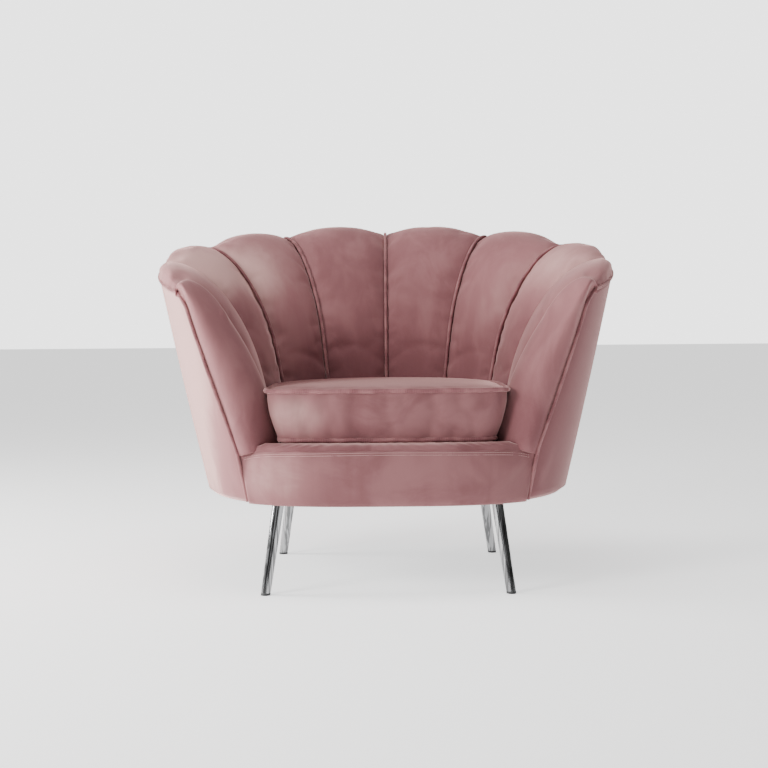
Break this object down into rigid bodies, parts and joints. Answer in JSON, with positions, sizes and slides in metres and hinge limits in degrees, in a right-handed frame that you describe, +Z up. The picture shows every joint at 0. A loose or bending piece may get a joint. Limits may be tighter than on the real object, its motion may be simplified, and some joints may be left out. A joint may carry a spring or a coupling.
{
  "type": "armchair",
  "caption": "Tub armchair with a scallop-shaped, channelled velvet back and arms, a loose zipped seat cushion and splayed metal legs.",
  "frame": {"origin": "on the floor, under the middle of the chair's bounding box", "axes": "+Z up; the sitter faces -Y; +X to the right when looking at the chair's front"},
  "size_m": [1.0464, 0.8099, 0.8202],
  "materials": {
    "velvet": "dusty pink velvet over foam",
    "velvet_cord": "dusty pink velvet sewn over cord",
    "plate_steel": "black powder coat",
    "screw_steel": "zinc plated",
    "chrome": "polished chrome plate on steel tube",
    "glide_plastic": "black moulded plastic",
    "spring_steel": "drawn spring wire and folded clips",
    "plywood": "raw plywood",
    "beech": "raw planed beech",
    "deck_felt": "cloth over felt pad",
    "dust_cloth": "black spunbonded cloth",
    "webbing": "elastic webbing",
    "zip_tape": "woven zip tape with plastic teeth",
    "zip_metal": "nickel plated zip slider"
  },
  "bodies": {
    "chair": {"arm_pad_left": "velvet", "arm_pad_right": "velvet", "arm_stile_left": "plywood", "arm_stile_right": "plywood", "back_rail": "beech", "channel_left_1": "velvet", "channel_left_2": "velvet", "channel_left_3": "velvet", "channel_left_4": "velvet", "channel_right_1": "velvet", "channel_right_2": "velvet", "channel_right_3": "velvet", "channel_right_4": "velvet", "channel_welts": "velvet_cord", "corner_blocks": "beech", "dust_cover": "dust_cloth", "edge_welt": "velvet_cord", "foot_glide_back_left": "glide_plastic", "foot_glide_back_right": "glide_plastic", "foot_glide_front_left": "glide_plastic", "foot_glide_front_right": "glide_plastic", "front_border": "velvet", "front_lip": "velvet", "front_rail": "beech", "leg_back_left": "chrome", "leg_back_right": "chrome", "leg_front_left": "chrome", "leg_front_right": "chrome", "leg_plate_back_left": "plate_steel", "leg_plate_back_right": "plate_steel", "leg_plate_front_left": "plate_steel", "leg_plate_front_right": "plate_steel", "leg_screws": "screw_steel", "outside_back": "velvet", "outside_left": "velvet", "outside_right": "velvet", "rib_centre": "plywood", "rib_left_1": "plywood", "rib_left_2": "plywood", "rib_left_3": "plywood", "rib_right_1": "plywood", "rib_right_2": "plywood", "rib_right_3": "plywood", "seat_deck": "deck_felt", "seat_spring_1": "spring_steel", "seat_spring_2": "spring_steel", "seat_spring_3": "spring_steel", "seat_spring_4": "spring_steel", "side_rail_left": "beech", "side_rail_right": "beech", "spring_clips": "spring_steel", "top_hoop": "plywood", "webbing_lower": "webbing", "webbing_upper": "webbing"},
    "cushion": {"seat_cushion": "velvet", "cushion_welt": "velvet_cord", "zip_chain": "zip_tape"},
    "zip": {"zip_slider": "zip_metal"}
  },
  "joints": [
    {"name": "cushion_lift", "type": "slide", "parent": "chair", "child": "cushion", "axis": [0, 0, 1], "range_m": [0, 0.45]},
    {"name": "zip_run", "type": "hinge", "parent": "cushion", "child": "zip", "pos_m": [0, -0.088, 0.367], "axis": [0, 0, 1], "range_deg": [0, 66]}
  ]
}
